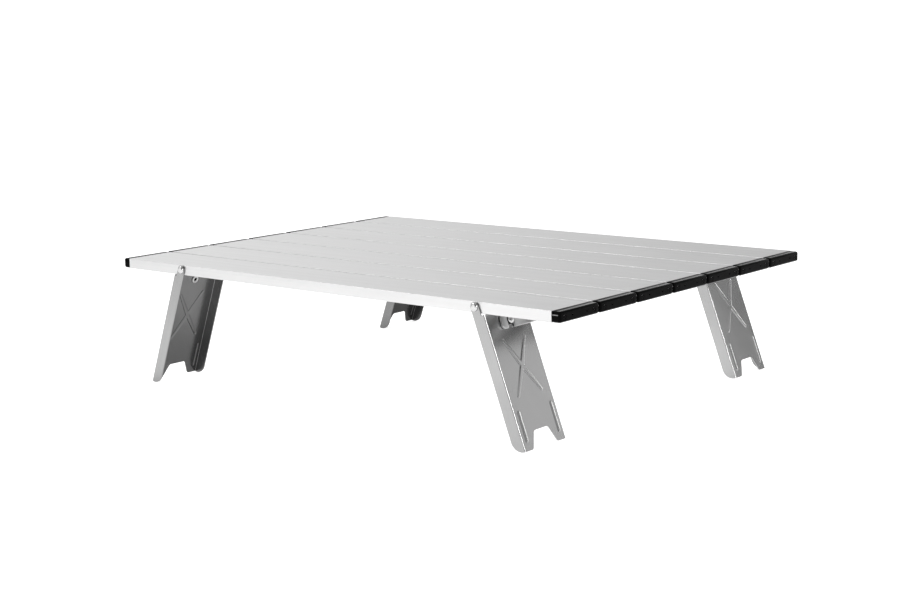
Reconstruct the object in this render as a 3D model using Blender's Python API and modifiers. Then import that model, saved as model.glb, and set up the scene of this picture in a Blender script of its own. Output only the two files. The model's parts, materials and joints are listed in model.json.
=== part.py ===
"""Low roll-top camping table: aluminium slats on two elastic cords, four folding sheet-metal legs.

Metres, +Z up, origin on the floor under the middle of the table.  X runs along the slats and
Y across them, from the front slat (1) to the back slat (7).
"""
import math

import bmesh
import bpy
from mathutils import Euler, Matrix, Vector

MM = 0.001

# Table top
SLATS = 7
SLAT_W = 56.0            # width of one slat
SLAT_H = 10.0
SLAT_LEN = 542.0
SLAT_WALL = 1.2
SLAT_TOP = 1.3           # thickness of the flat top
SLAT_LIP = 7.0           # bottom lips turn in this far
SEAM = 2.2               # space between slats, where a leg's inner flange runs
TABLE_H = 126.0
PITCH = SLAT_W + SEAM
UNDER = TABLE_H - SLAT_H
Y_OUTER = PITCH * (SLATS - 1) / 2    # centre of the front and back slats

# End caps
CAP_OUT = 9.0            # how far a cap stands past the end of its slat
CAP_HALF_W = 27.8
CAP_PLUG = 22.0
CORD_R = 1.5
CORD_HOLE_R = 1.7
CORD_X = SLAT_LEN / 2 + 4.5
CORD_Z = UNDER + 5.0
BOSS_R = 3.0
BOSS_H = 0.95            # side bosses keep the slats one seam apart

# Legs, in a leg's own frame: origin on the hinge, +X out through the web, +Z up the leg
TILT = math.radians(20.5)
HINGE_X = 189.7
HINGE_Z = TABLE_H - 4.6
SHEET = 1.1
WEB_OUT = 8.0            # hinge to the outer face of the web
TAB_R = 4.4
FLANGE_GAP = 0.35        # flange to the slat's side
LEG_HALF = SLAT_W / 2 + FLANGE_GAP + SHEET
BEND_R = 1.8
WEB_TOP = -9.1
FOOT = -131.48
FOOT_R = 11.5
RIVET_R = 2.0
RIVET_HOLE_R = 2.06
STUD_Z = -18.2           # stud and bar pivot, down the leg from the hinge
STUD_R = 2.3
STUD_HOLE_R = 2.38
CROSS = ((-14.6, -34.9, 16.4, -83.9), (14.6, -34.9, -16.4, -83.9))
FOOT_BEAD_Y = 23.0
FOOT_BEAD_Z = (-98.1, -122.6)
BEAD_W = 2.6
BEAD_H = 0.6
NOTCH_TOP = -116.0
NOTCH_HALF = (10.2, 17.6)

# Tie bars, on edge against the outer faces of the webs
BAR_IN = 0.6             # web to bar
BAR_T = 2.0
BAR_UP = 6.2             # edges above and below the pivot
BAR_DOWN = 7.2
FORK_R = 4.4
TONGUE_W = 7.8
BAR_SPAN = 2 * Y_OUTER

PARTS = "folding_table"
CUTTERS = "cutters"


def clear_scene():
    """Empty the file without closing it."""
    for ob in list(bpy.data.objects):
        bpy.data.objects.remove(ob, do_unlink=True)
    for me in list(bpy.data.meshes):
        bpy.data.meshes.remove(me)


def collection(name):
    """Get or make a collection under the scene."""
    col = bpy.data.collections.get(name)
    if col is None:
        col = bpy.data.collections.new(name)
        bpy.context.scene.collection.children.link(col)
    return col


def material(name, colour, roughness, metallic):
    """A plain Principled material."""
    mat = bpy.data.materials.new(name)
    mat.use_nodes = True
    bsdf = mat.node_tree.nodes["Principled BSDF"]
    bsdf.inputs["Base Color"].default_value = (*colour, 1.0)
    bsdf.inputs["Roughness"].default_value = roughness
    bsdf.inputs["Metallic"].default_value = metallic
    mat.diffuse_color = (*colour, 1.0)
    return mat


def corner_arc(p, q, r, radius, steps):
    """Points of the fillet of a given radius at corner q, between p and r."""
    a = (Vector(p) - Vector(q)).normalized()
    b = (Vector(r) - Vector(q)).normalized()
    half = a.angle(b) / 2
    reach = radius / math.tan(half)
    centre = Vector(q) + (a + b).normalized() * (radius / math.sin(half))
    start = Vector(q) + a * reach - centre
    end = Vector(q) + b * reach - centre
    turn = start.angle_signed(end)
    return [centre + Matrix.Rotation(-turn * i / steps, 2) @ start for i in range(steps + 1)]


def rounded(corners, steps=5):
    """Outline from (x, y, radius) corners."""
    out = []
    for i, (x, y, radius) in enumerate(corners):
        if radius <= 0:
            out.append(Vector((x, y)))
            continue
        before, after = corners[i - 1], corners[(i + 1) % len(corners)]
        out += corner_arc(before[:2], (x, y), after[:2], radius, steps)
    return out


def arc(cx, cy, radius, a0, a1, steps):
    """Points on a circle, angles in degrees."""
    angles = [math.radians(a0 + (a1 - a0) * i / steps) for i in range(steps + 1)]
    return [Vector((cx + radius * math.cos(a), cy + radius * math.sin(a))) for a in angles]


def bake(ob, name):
    """The evaluated shape of an object as one welded mesh."""
    bpy.context.view_layer.update()
    graph = bpy.context.evaluated_depsgraph_get()
    me = bpy.data.meshes.new_from_object(ob.evaluated_get(graph))
    bm = bmesh.new()
    bm.from_mesh(me)
    bmesh.ops.remove_doubles(bm, verts=bm.verts, dist=1e-6)
    bmesh.ops.recalc_face_normals(bm, faces=bm.faces)
    bm.to_mesh(me)
    bm.free()
    me.name = name
    return me


def prism(name, outline, low, high, matrix=None):
    """An outline in millimetres, extruded from low to high, as a mesh object."""
    curve = bpy.data.curves.new(name, "CURVE")
    curve.dimensions = "2D"
    curve.fill_mode = "BOTH"
    curve.extrude = (high - low) / 2 * MM
    spline = curve.splines.new("POLY")
    spline.points.add(len(outline) - 1)
    for point, xy in zip(spline.points, outline):
        point.co = (xy[0] * MM, xy[1] * MM, 0.0, 1.0)
    spline.use_cyclic_u = True
    ob = bpy.data.objects.new(name, curve)
    collection(CUTTERS).objects.link(ob)
    me = bake(ob, name)
    bpy.data.objects.remove(ob, do_unlink=True)
    me.transform(Matrix.Translation((0, 0, (high + low) / 2 * MM)))
    if matrix is not None:
        me.transform(matrix)
    return cutter(name, me)


def cutter(name, me):
    """A wire-drawn object that only shapes others."""
    ob = bpy.data.objects.new(name, me)
    collection(CUTTERS).objects.link(ob)
    ob.hide_render = True
    ob.display_type = "WIRE"
    return ob


def rods(name, specs):
    """Cylinders (centre, axis, radius, length in mm, sides) that don't touch, in one mesh."""
    bm = bmesh.new()
    for centre, axis, radius, length, sides in specs:
        turn = Vector((0, 0, 1)).rotation_difference(Vector(axis)).to_matrix().to_4x4()
        place = Matrix.Translation(Vector(centre) * MM) @ turn
        bmesh.ops.create_cone(bm, cap_ends=True, segments=sides, radius1=radius * MM,
                              radius2=radius * MM, depth=length * MM, matrix=place)
    me = bpy.data.meshes.new(name)
    bm.to_mesh(me)
    bm.free()
    return cutter(name, me)


def block(name, low, high):
    """A box between two corners, in mm."""
    bm = bmesh.new()
    size = [(h - l) * MM for l, h in zip(low, high)]
    middle = [(h + l) / 2 * MM for l, h in zip(low, high)]
    place = Matrix.Translation(middle) @ Matrix.Diagonal((*size, 1.0))
    bmesh.ops.create_cube(bm, size=1.0, matrix=place)
    me = bpy.data.meshes.new(name)
    bm.to_mesh(me)
    bm.free()
    return cutter(name, me)


def combine(ob, operation, other):
    """Add one exact Boolean step."""
    mod = ob.modifiers.new(operation.lower(), "BOOLEAN")
    mod.operation = operation
    mod.solver = "EXACT"
    mod.object = other


def smooth(me, degrees=35):
    """Round faces smooth, real edges sharp."""
    for poly in me.polygons:
        poly.use_smooth = True
    bm = bmesh.new()
    bm.from_mesh(me)
    for edge in bm.edges:
        edge.smooth = len(edge.link_faces) == 2 and edge.calc_face_angle(0) < math.radians(degrees)
    bm.to_mesh(me)
    bm.free()


def turned(name, profile, steps=14):
    """A turned mesh about local Z from an (r, z) profile in mm, top to bottom."""
    me = bpy.data.meshes.new(name + "_profile")
    me.from_pydata([(r * MM, 0, z * MM) for r, z in profile],
                   [(i, i + 1) for i in range(len(profile) - 1)], [])
    ob = cutter(name + "_profile", me)
    mod = ob.modifiers.new("turn", "SCREW")
    mod.axis = "Z"
    mod.steps = steps
    mod.render_steps = steps
    mod.use_merge_vertices = True
    mod.merge_threshold = 1e-5
    mesh = bake(ob, name)
    bpy.data.objects.remove(ob, do_unlink=True)
    smooth(mesh)
    return mesh


def place(name, me, mat, location, rotation=(0, 0, 0), parent=None):
    """Put a finished mesh into the table as a named part; location in mm."""
    ob = bpy.data.objects.new(name, me.copy())
    ob.data.name = name
    ob.data.materials.clear()
    ob.data.materials.append(mat)
    collection(PARTS).objects.link(ob)
    ob.location = Vector(location) * MM
    ob.rotation_euler = rotation
    if parent is not None:
        ob.parent = parent
    return ob


# --- shapes -------------------------------------------------------------------------------

TO_X = Euler((math.pi / 2, 0, math.pi / 2)).to_matrix().to_4x4()   # outline (y, z), run along X
TO_Y = Euler((math.pi / 2, 0, 0)).to_matrix().to_4x4()             # outline (x, z), run along Y


def slat_mesh(with_hinges):
    """C-shaped extrusion, open between two lips underneath."""
    w, h = SLAT_W / 2, SLAT_H
    inner, lip = w - SLAT_WALL, w - SLAT_LIP
    half = [(lip, 0), (w - 0.3, 0), (w, 0.3), (w, h - 0.5), (w - 0.5, h)]
    inside = [(inner, h - SLAT_TOP), (inner, SLAT_WALL), (lip, SLAT_WALL)]
    right = half
    left = [(-y, z) for y, z in reversed(half)]
    back = [(-y, z) for y, z in reversed(inside)] + inside
    outline = right + left + back
    ob = prism("slat_body", outline, -SLAT_LEN / 2, SLAT_LEN / 2, TO_X)
    if with_hinges:
        z = HINGE_Z - UNDER
        specs = [((side * HINGE_X, edge * w, z), (0, 1, 0), RIVET_R + 0.05, 6.0, 14)
                 for side in (-1, 1) for edge in (-1, 1)]
        combine(ob, "DIFFERENCE", rods("slat_hinge_holes", specs))
    return bake(ob, "slat")


def cap_mesh(outer_side):
    """End cap on the +X end.  outer_side is -1 or 1 for the front or back cap, else 0."""
    edge = CAP_OUT
    side = rounded([(0.15, 0.1, 0), (edge, 0.1, 2.2), (edge, 9.95, 1.8), (0.15, 9.95, 0)], 4)
    body = prism("cap_side", side, -40, 40, TO_Y)
    w = CAP_HALF_W
    plan = rounded([(0.1, -w, 0), (edge + 0.05, -w, 3.4), (edge + 0.05, w, 3.4), (0.1, w, 0)], 6)
    combine(body, "INTERSECT", prism("cap_plan", plan, -1, 12))
    plug_w = SLAT_W / 2 - SLAT_WALL - 0.3
    low, high = SLAT_WALL + 0.3, SLAT_H - SLAT_TOP - 0.3
    combine(body, "UNION", block("cap_plug", (-CAP_PLUG, -plug_w, low), (0.6, plug_w, high)))
    combine(body, "DIFFERENCE", block("cap_tray", (1.8 - CAP_PLUG, 2 - plug_w, low - 1),
                                      (-1.6, plug_w - 2, high - 1.6)))
    z = CORD_Z - UNDER
    x = CORD_X - SLAT_LEN / 2
    ends = [-(w + BOSS_H), w + BOSS_H]
    if outer_side:
        ends[0 if outer_side < 0 else 1] = outer_side * (w - 4)
    centre = (x, sum(ends) / 2, z)
    combine(body, "UNION", rods("cap_bosses", [(centre, (0, 1, 0), BOSS_R, ends[1] - ends[0], 14)]))
    if outer_side:
        reach = sorted((outer_side * 18.0, -outer_side * 31.0))
        pocket = sorted((outer_side * 25.2, outer_side * 17.6))
        combine(body, "DIFFERENCE", block("cap_pocket", (1.4, pocket[0], -1), (7.6, pocket[1], 7.9)))
    else:
        reach = [-31.0, 31.0]
    specs = [((x, sum(reach) / 2, z), (0, 1, 0), CORD_HOLE_R, reach[1] - reach[0], 12)]
    specs += [((edge, s * 21.2, z), (1, 0, 0), 1.7, 0.8, 12) for s in (-1, 1)]
    specs += [((edge, s * 10.4, z), (1, 0, 0), 0.8, 2.4, 8) for s in (-1, 1)]
    combine(body, "DIFFERENCE", rods("cap_holes", specs))
    return bake(body, "cap")


def bead(name, y0, z0, y1, z1, low, high):
    """A round-ended strip between two points of the web, from local x low to high."""
    along = Vector((y1 - y0, z1 - z0))
    length, angle = along.length, math.degrees(math.atan2(along.y, along.x))
    spots = arc(y1, z1, BEAD_W / 2, angle - 90, angle + 90, 5)
    spots += arc(y0, z0, BEAD_W / 2, angle + 90, angle + 270, 5)
    return prism(name, spots, low, high, TO_X)


def leg_mesh():
    """U-section leg with hinge tabs, forked foot and pressed beads."""
    half, inner = LEG_HALF, LEG_HALF - SHEET
    free = -TAB_R - 1
    section = [(free, -half), (free, -inner)]
    section += corner_arc((free, -inner), (WEB_OUT - SHEET, -inner), (WEB_OUT - SHEET, 0), BEND_R - SHEET, 3)
    section += corner_arc((WEB_OUT - SHEET, 0), (WEB_OUT - SHEET, inner), (free, inner), BEND_R - SHEET, 3)
    section += [(free, inner), (free, half)]
    section += corner_arc((free, half), (WEB_OUT, half), (WEB_OUT, 0), BEND_R, 4)
    section += corner_arc((WEB_OUT, 0), (WEB_OUT, -half), (free, -half), BEND_R, 4)
    ob = prism("leg_section", section, FOOT - 2, TAB_R + 2)
    out = WEB_OUT + 1
    profile = arc(0, 0, TAB_R, 0, 180, 10)
    profile += arc(FOOT_R - TAB_R, FOOT + FOOT_R, FOOT_R, 180, 270, 8)
    profile += [Vector((out, FOOT)), Vector((out, WEB_TOP))]
    profile += corner_arc((out, WEB_TOP), (TAB_R, WEB_TOP), (TAB_R, 0), 0.8, 3)
    combine(ob, "INTERSECT", prism("leg_profile", profile, -40, 40, TO_Y))
    top, low = NOTCH_HALF
    toe = FOOT - 0.02
    notch = rounded([(-26, FOOT - 6, 0), (26, FOOT - 6, 0), (26, toe, 0), (low, toe, 3), (top, NOTCH_TOP, 3.5),
                     (-top, NOTCH_TOP, 3.5), (-low, toe, 3), (-26, toe, 0)], 4)
    combine(ob, "DIFFERENCE", prism("leg_notch", notch, WEB_OUT - 4, WEB_OUT + 2, TO_X))
    specs = [((0, s * half, 0), (0, 1, 0), RIVET_HOLE_R, 6.0, 14) for s in (-1, 1)]
    specs.append(((WEB_OUT, 0, STUD_Z), (1, 0, 0), STUD_HOLE_R, 6.0, 14))
    combine(ob, "DIFFERENCE", rods("leg_holes", specs))
    face = WEB_OUT - SHEET
    runs = list(CROSS)
    runs += [(s * FOOT_BEAD_Y, FOOT_BEAD_Z[0], s * FOOT_BEAD_Y, FOOT_BEAD_Z[1]) for s in (-1, 1)]
    # each bead is pressed 0.02 mm less than the last, so crossing ones share no face
    for i, run in enumerate(runs):
        combine(ob, "UNION", bead("bead_%d" % i, *run, WEB_OUT - 0.3, WEB_OUT + BEAD_H - 0.02 * i))
    for i, run in enumerate(runs):
        combine(ob, "DIFFERENCE", bead("groove_%d" % i, *run, face - 0.5, face + 0.5 - 0.02 * i))
    return bake(ob, "leg")


def bar_mesh():
    """Tie bar: pivot hole at the origin, open fork at the far end."""
    fork = -BAR_SPAN
    radius = (BAR_UP + BAR_DOWN) / 2
    middle = (BAR_UP - BAR_DOWN) / 2
    tip = fork - FORK_R - TONGUE_W
    outline = arc(0, middle, radius, -90, 90, 12)
    outline += corner_arc((0, BAR_UP), (tip, BAR_UP), (tip, -BAR_DOWN), 5.0, 5)
    outline += corner_arc((tip, BAR_UP), (tip, -BAR_DOWN), (tip + TONGUE_W, -BAR_DOWN), 3.6, 5)
    outline += corner_arc((tip, -BAR_DOWN), (tip + TONGUE_W, -BAR_DOWN), (tip + TONGUE_W, 0), 1.6, 3)
    outline += arc(fork, 0, FORK_R, 180, 0, 12)
    outline += corner_arc((fork + FORK_R, 0), (fork + FORK_R, -BAR_DOWN), (0, -BAR_DOWN), 1.2, 3)
    ob = prism("bar_body", outline, WEB_OUT + BAR_IN, WEB_OUT + BAR_IN + BAR_T, TO_X)
    combine(ob, "DIFFERENCE", rods("bar_hole", [((WEB_OUT, 0, 0), (1, 0, 0), STUD_HOLE_R, 12, 14)]))
    return bake(ob, "bar")


def dome(radius, low, height, steps=4):
    """Profile of a domed head from its crown to its rim."""
    rim = 0.35
    spots = []
    for i in range(steps + 1):
        a = math.radians(90 * (1 - i / steps))
        spots.append((radius * math.cos(a), low + rim + (height - rim) * math.sin(a)))
    spots[0] = (0.0, low + height)
    return spots + [(radius, low)]


def hinge_rivet(domed):
    """Leg hinge rivet, +Z away from the slat's side; tail inside the slat."""
    wall = SLAT_WALL
    seat = FLANGE_GAP + SHEET
    if domed:
        top = dome(3.9, seat + 0.1, 2.2)
        tail = [(3.1, -wall - 0.1), (3.1, -wall - 0.7), (1.7, -wall - 1.0), (1.2, -wall - 0.7), (0, -wall - 0.1)]
    else:
        top = [(0, seat + 0.45), (2.9, seat + 0.45), (3.2, seat + 0.3), (3.2, seat + 0.08)]
        tail = [(3.0, -wall - 0.1), (3.0, -wall - 0.6), (2.1, -wall - 1.4), (0, -wall - 1.6)]
    shank = [(RIVET_R, top[-1][1]), (RIVET_R, -wall - 0.1)]
    return turned("rivet", top + shank + tail)


def stud(seat):
    """Tubular rivet along +Z: dome at seat, flared open end inside the web (z is local x)."""
    face = WEB_OUT - SHEET
    top = dome(3.7, seat, 1.9)
    shank = [(STUD_R, seat), (STUD_R, face - 0.1)]
    flare = [(3.9, face - 0.1), (4.1, face - 0.5), (3.5, face - 1.2), (2.3, face - 1.3), (1.7, face - 0.8)]
    bore = [(1.7, face + 1.6), (0, face + 1.9)]
    return turned("stud", top + shank + flare + bore)


def ring(radius, bore, low, high):
    """A plain ring about Z."""
    profile = [(bore, high), (radius, high), (radius, low), (bore, low), (bore, high)]
    return turned("ring", profile, 16)


def cord_mesh(half_length):
    """A round cord along Y with closed ends."""
    curve = bpy.data.curves.new("cord_path", "CURVE")
    curve.dimensions = "3D"
    curve.bevel_depth = CORD_R * MM
    curve.bevel_resolution = 2
    curve.use_fill_caps = True
    spline = curve.splines.new("POLY")
    count = 2 * SLATS + 1
    spline.points.add(count - 1)
    for i, point in enumerate(spline.points):
        point.co = (0, (2 * i / (count - 1) - 1) * half_length * MM, 0, 1)
    ob = bpy.data.objects.new("cord_path", curve)
    collection(CUTTERS).objects.link(ob)
    me = bake(ob, "cord")
    bpy.data.objects.remove(ob, do_unlink=True)
    smooth(me, 50)
    return me


# --- assembly -----------------------------------------------------------------------------

def empty(name, location, rotation):
    """A hinge empty that carries one leg."""
    ob = bpy.data.objects.new(name, None)
    ob.empty_display_size = 0.02
    collection(PARTS).objects.link(ob)
    ob.location = Vector(location) * MM
    ob.rotation_euler = rotation
    return ob


def build():
    """Make every part of the table."""
    clear_scene()
    alu = material("anodised_aluminium", (0.80, 0.81, 0.82), 0.32, 1.0)
    steel = material("zinc_steel", (0.62, 0.63, 0.64), 0.35, 1.0)
    bright = material("nickel_rivet", (0.80, 0.80, 0.80), 0.18, 1.0)
    black = material("black_nylon", (0.02, 0.02, 0.022), 0.5, 0.0)
    elastic = material("elastic_cord", (0.015, 0.015, 0.015), 0.8, 0.0)

    plain, hinged = slat_mesh(False), slat_mesh(True)
    caps = {s: cap_mesh(s) for s in (-1, 0, 1)}
    for n in range(1, SLATS + 1):
        y = (n - 1) * PITCH - Y_OUTER
        place("slat_%d" % n, hinged if n in (1, SLATS) else plain, alu, (0, y, UNDER))
        edge = -1 if n == 1 else 1 if n == SLATS else 0
        place("cap_r_%d" % n, caps[edge], black, (SLAT_LEN / 2, y, UNDER))
        place("cap_l_%d" % n, caps[-edge], black, (-SLAT_LEN / 2, y, UNDER), (0, 0, math.pi))

    end = Y_OUTER + 24.4
    cord = cord_mesh(end)
    stop = turned("stop", [(1.56, 2.0), (2.3, 2.0), (2.6, 1.6), (2.6, -1.6), (2.3, -2.0), (1.56, -2.0),
                           (1.56, 2.0)])
    for tag, side in (("r", 1), ("l", -1)):
        place("cord_" + tag, cord, elastic, (side * CORD_X, 0, CORD_Z))
        for name, s in (("f", -1), ("b", 1)):
            place("cord_stop_%s%s" % (name, tag), stop, bright,
                  (side * CORD_X, s * (end - 3.0), CORD_Z), (math.pi / 2, 0, 0))

    leg, bar = leg_mesh(), bar_mesh()
    outer_rivet, inner_rivet = hinge_rivet(True), hinge_rivet(False)
    bar_out = WEB_OUT + BAR_IN + BAR_T
    fork_stud, pivot = stud(bar_out + 0.2), stud(bar_out + 0.1)
    bush = ring(FORK_R - 0.15, STUD_R + 0.05, WEB_OUT + 0.08, bar_out + 0.12)
    washer = ring(5.0, STUD_R + 0.05, WEB_OUT + 0.1, WEB_OUT + BAR_IN - 0.1)
    across = (0, math.pi / 2, 0)        # turned pieces: their Z along the leg's own X
    for tag, side, end, holds_bar in (("fr", 1, -1, False), ("br", 1, 1, True),
                                      ("fl", -1, -1, True), ("bl", -1, 1, False)):
        turn = 0.0 if side > 0 else math.pi
        hub = (side * HINGE_X, end * Y_OUTER, HINGE_Z)
        holder = empty("hinge_" + tag, hub, Euler((0, -TILT, turn)))
        place("leg_" + tag, leg, steel, (0, 0, 0), parent=holder)
        for name, mesh, s in (("rivet_out_", outer_rivet, end), ("rivet_in_", inner_rivet, -end)):
            spot = (hub[0], hub[1] + s * SLAT_W / 2, hub[2])
            place(name + tag, mesh, bright, spot, (-s * math.pi / 2, 0, 0))
        at = (0, 0, STUD_Z)
        if holds_bar:
            place("bar_" + tag[1], bar, steel, at, parent=holder)
            place("pivot_" + tag, pivot, bright, at, across, holder)
            place("washer_" + tag, washer, bright, at, across, holder)
        else:
            place("stud_" + tag, fork_stud, bright, at, across, holder)
            place("bush_" + tag, bush, black, at, across, holder)
    bpy.context.view_layer.update()


build()
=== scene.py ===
"""Visual model of the low roll-top camping table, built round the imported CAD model."""
import json
import math

import bmesh
import bpy
from mathutils import Euler, Matrix, Vector
from mathutils.geometry import delaunay_2d_cdt


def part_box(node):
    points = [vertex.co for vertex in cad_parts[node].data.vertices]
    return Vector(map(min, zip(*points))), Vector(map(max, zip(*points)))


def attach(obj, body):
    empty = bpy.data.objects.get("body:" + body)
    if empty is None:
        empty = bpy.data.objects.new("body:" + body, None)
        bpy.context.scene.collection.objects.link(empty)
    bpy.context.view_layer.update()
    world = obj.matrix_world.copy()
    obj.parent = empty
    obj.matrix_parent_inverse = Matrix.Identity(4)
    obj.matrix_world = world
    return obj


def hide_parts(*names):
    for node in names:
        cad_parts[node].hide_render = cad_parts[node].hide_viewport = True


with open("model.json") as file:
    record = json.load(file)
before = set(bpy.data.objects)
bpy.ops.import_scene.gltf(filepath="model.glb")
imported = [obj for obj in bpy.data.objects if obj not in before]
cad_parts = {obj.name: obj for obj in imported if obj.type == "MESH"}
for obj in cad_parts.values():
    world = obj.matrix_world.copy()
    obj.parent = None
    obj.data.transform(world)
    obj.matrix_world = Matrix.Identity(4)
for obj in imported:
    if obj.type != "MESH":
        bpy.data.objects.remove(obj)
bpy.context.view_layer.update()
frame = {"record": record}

MM = 0.001

# --- sizes in millimetres, measured on the CAD nodes or the same as the CAD's -------------


def node_box(node):
    """Lowest and highest corner of a CAD node in millimetres."""
    low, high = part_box(node)
    return Vector(low) / MM, Vector(high) / MM


slat_low, slat_high = node_box("slat_1")
SLAT_W = slat_high.y - slat_low.y
SLAT_H = slat_high.z - slat_low.z
SLAT_END = slat_high.x
UNDER = slat_low.z
SLATS = 7
PITCH = node_box("slat_2")[0].y - slat_low.y
Y_OUTER = PITCH * (SLATS - 1) / 2
WALL, TOP, LIP = 1.2, 1.3, 7.0       # slat's sides, its top, and the lips turned in below

cap_low, cap_high = node_box("cap_r_4")
CAP_OUT = cap_high.x - SLAT_END
CAP_HALF = 27.8                      # half the width of a cap's head
CAP_PLUG = SLAT_END - cap_low.x
cord_low, cord_high = node_box("cord_r")
CORD_X = (cord_low.x + cord_high.x) / 2
CORD_Z = (cord_low.z + cord_high.z) / 2
CORD_R = (cord_high.z - cord_low.z) / 2

HINGES = {joint["child"]: Vector(joint["pos_m"]) / MM
          for joint in frame["record"]["behaviour"]["joints"]}
TILT = math.radians(20.5)            # how far an open leg leans out
SHEET = 1.1                          # thickness of a leg's sheet
SIDE_GAP = 0.35                      # between a slat's side and a leg's flange
HALF = SLAT_W / 2 + SIDE_GAP + SHEET
BEND = 1.35                          # outer radius of a leg's folds
WEB = 8.0                            # hinge axis to the outer face of the web
WEB_TOP = -9.1                       # top edge of the web, below the hinge axis
TAB = 4.4                            # radius of a flange round the hinge
FOOT = -131.48                       # the foot, below the hinge axis
FOOT_R = 11.5                        # rounding of the foot
RIVET_R = 2.0                        # shank of a hinge rivet
STUD_Z, STUD_R = -18.2, 2.3          # place and shank of a bar's pivot or fork stud
BAR_IN, BAR_T = 0.6, 2.0             # gap between web and bar, thickness of the bar
BAR_UP, BAR_DOWN = 6.2, 7.2          # edges of the bar over and under its pivot
FORK_R, TONGUE = 4.4, 7.8            # mouth of the bar's fork, and the bar past it
BORE_R = 1.7                         # bore of the tubular rivets


# --- small mesh tools ---------------------------------------------------------------------


def arc(cx, cy, radius, a0, a1, steps):
    """Points on a circle, angles in degrees."""
    turns = [math.radians(a0 + (a1 - a0) * i / steps) for i in range(steps + 1)]
    return [Vector((cx + radius * math.cos(a), cy + radius * math.sin(a))) for a in turns]


def fillet(p, q, r, radius, steps):
    """Points of the fillet at corner q, between p and r."""
    a = (Vector(p) - Vector(q)).normalized()
    b = (Vector(r) - Vector(q)).normalized()
    half = a.angle(b) / 2
    centre = Vector(q) + (a + b).normalized() * (radius / math.sin(half))
    start = Vector(q) + a * (radius / math.tan(half)) - centre
    end = Vector(q) + b * (radius / math.tan(half)) - centre
    turn = start.angle_signed(end)
    return [centre + Matrix.Rotation(-turn * i / steps, 2) @ start for i in range(steps + 1)]


def rounded(corners, steps):
    """Outline from (x, y, radius) corners."""
    out = []
    for i, (x, y, radius) in enumerate(corners):
        if radius <= 0:
            out.append(Vector((x, y)))
        else:
            before, after = corners[i - 1], corners[(i + 1) % len(corners)]
            out += fillet(before[:2], (x, y), after[:2], radius, steps)
    return out


def new_object(name, data):
    """An object for a mesh, curve, light or camera, linked to the scene."""
    ob = bpy.data.objects.new(name, data)
    bpy.context.scene.collection.objects.link(ob)
    return ob


def mesh_from(name, bm):
    """A mesh from a bmesh in millimetres, scaled to metres."""
    bmesh.ops.recalc_face_normals(bm, faces=bm.faces)
    bmesh.ops.scale(bm, vec=(MM, MM, MM), verts=bm.verts)
    mesh = bpy.data.meshes.new(name)
    bm.to_mesh(mesh)
    bm.free()
    return mesh


def shade(mesh, degrees):
    """Smooth shading, with edges that turn more than this kept sharp."""
    for poly in mesh.polygons:
        poly.use_smooth = True
    bm = bmesh.new()
    bm.from_mesh(mesh)
    for edge in bm.edges:
        paired = len(edge.link_faces) == 2
        edge.smooth = paired and edge.calc_face_angle(0) < math.radians(degrees)
    bm.to_mesh(mesh)
    bm.free()


def bake(ob):
    """The evaluated mesh of a helper object, which is then removed."""
    graph = bpy.context.evaluated_depsgraph_get()
    mesh = bpy.data.meshes.new_from_object(ob.evaluated_get(graph))
    bpy.data.objects.remove(ob, do_unlink=True)
    return mesh


def cut(mesh, operation, *others):
    """Exact Booleans of a mesh with other meshes, in turn."""
    ob = new_object("work", mesh)
    helpers = []
    for other in others:
        helper = new_object("helper", other)
        helpers.append(helper)
        mod = ob.modifiers.new("b", "BOOLEAN")
        mod.operation = operation
        mod.solver = "EXACT"
        mod.object = helper
    bpy.context.view_layer.update()
    result = bake(ob)
    for helper in helpers:
        bpy.data.objects.remove(helper, do_unlink=True)
    return result


def run(outline, low, high):
    """A closed outline of (y, z) points carried along X."""
    bm = bmesh.new()
    first, last = [[bm.verts.new((x, p[0], p[1])) for p in outline] for x in (low, high)]
    for i in range(len(outline)):
        j = (i + 1) % len(outline)
        bm.faces.new((first[i], first[j], last[j], last[i]))
    bm.faces.new(first)
    bm.faces.new(last)
    return mesh_from("run", bm)


def box_bm(low, high):
    """A bmesh box between two corners."""
    bm = bmesh.new()
    low, high = Vector(low), Vector(high)
    place = Matrix.Translation((low + high) / 2) @ Matrix.Diagonal((*(high - low), 1))
    bmesh.ops.create_cube(bm, size=1, matrix=place)
    return bm


def box_mesh(low, high):
    """A box between two corners."""
    return mesh_from("box", box_bm(low, high))


def moved(point, turn=0.0, axis="Z"):
    """A place: at a point in millimetres, turned about one axis."""
    return Matrix.Translation(Vector(point) * MM) @ Matrix.Rotation(turn, 4, axis)


LIE = Euler((0, math.pi / 2, 0)).to_matrix().to_4x4()    # lays what stands along Z along X


def rod(centre, axis, radius, length, sides=32):
    """A round bar about an axis, to cut with or to join on."""
    bm = bmesh.new()
    turn = Vector((0, 0, 1)).rotation_difference(Vector(axis)).to_matrix().to_4x4()
    bmesh.ops.create_cone(bm, cap_ends=True, segments=sides, radius1=radius, radius2=radius,
                          depth=length, matrix=Matrix.Translation(centre) @ turn)
    return mesh_from("rod", bm)


def lathe(profile, steps=40):
    """A mesh turned about Z from an (r, z) profile."""
    bm = bmesh.new()
    rows = []
    for r, z in profile:
        if r == 0:
            rows.append([bm.verts.new((0, 0, z))])
        else:
            turns = [2 * math.pi * i / steps for i in range(steps)]
            rows.append([bm.verts.new((r * math.cos(a), r * math.sin(a), z)) for a in turns])
    if profile[0] == profile[-1]:
        for v in rows.pop():
            bm.verts.remove(v)
        rows.append(rows[0])
    for a, b in zip(rows, rows[1:]):
        for i in range(steps):
            j = (i + 1) % steps
            if len(a) == 1:
                bm.faces.new((a[0], b[i], b[j]))
            elif len(b) == 1:
                bm.faces.new((a[i], b[0], a[j]))
            else:
                bm.faces.new((a[i], b[i], b[j], a[j]))
    mesh = mesh_from("lathe", bm)
    shade(mesh, 40)
    return mesh


# --- materials ----------------------------------------------------------------------------


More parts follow.
